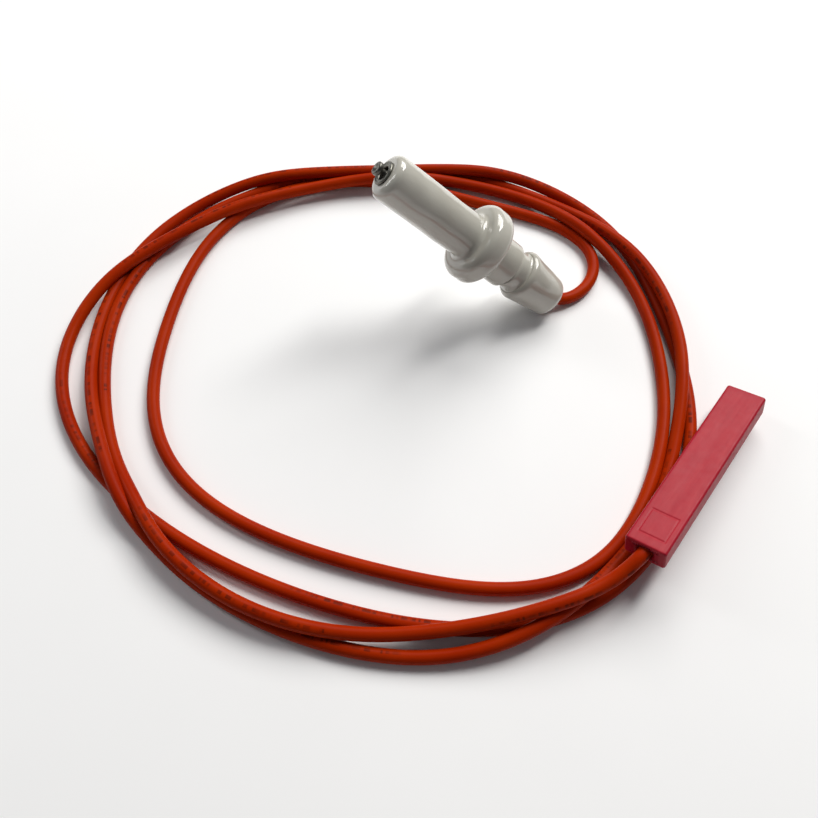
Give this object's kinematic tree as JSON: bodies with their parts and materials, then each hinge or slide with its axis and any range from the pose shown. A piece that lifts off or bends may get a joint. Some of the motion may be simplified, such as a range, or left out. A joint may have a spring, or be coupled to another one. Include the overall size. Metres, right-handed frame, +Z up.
{
  "type": "ignition electrode with lead",
  "caption": "Spark ignition electrode: flanged glazed ceramic body with a steel spark pin, a silicone-sleeved lead and an insulated push-on receptacle.",
  "frame": {"origin": "on the table, under the middle of the ceramic body's bounding box", "axes": "+Z up; the ceramic's axis lies in the XZ plane, rising 42 degrees towards -X, where the spark tip is; the lead's coil lies on z = 0, mostly towards -Y"},
  "size_m": [0.1233, 0.1007, 0.0318],
  "materials": {
    "glazed_ceramic": "glossy off-white glaze",
    "pin_steel": "dull turned steel",
    "eyelet_steel": "pressed steel with polished edges",
    "cement": "matt grey",
    "brass": "plain",
    "copper_strand": "bright drawn copper",
    "sealant": "matt cured silicone compound",
    "silicone_sleeve": "satin orange-red silicone",
    "red_nylon": "satin moulded nylon",
    "tinned_brass": "tinned"
  },
  "bodies": {
    "root": {"ceramic_body": "glazed_ceramic", "spark_pin": "pin_steel", "front_eyelet": "eyelet_steel", "front_cement": "cement", "pin_ferrule": "brass", "pin_strands": "copper_strand", "rear_sealant": "sealant", "lead_sleeve": "silicone_sleeve", "receptacle_housing": "red_nylon", "receptacle_terminal": "tinned_brass", "terminal_strands": "copper_strand"}
  },
  "joints": []
}
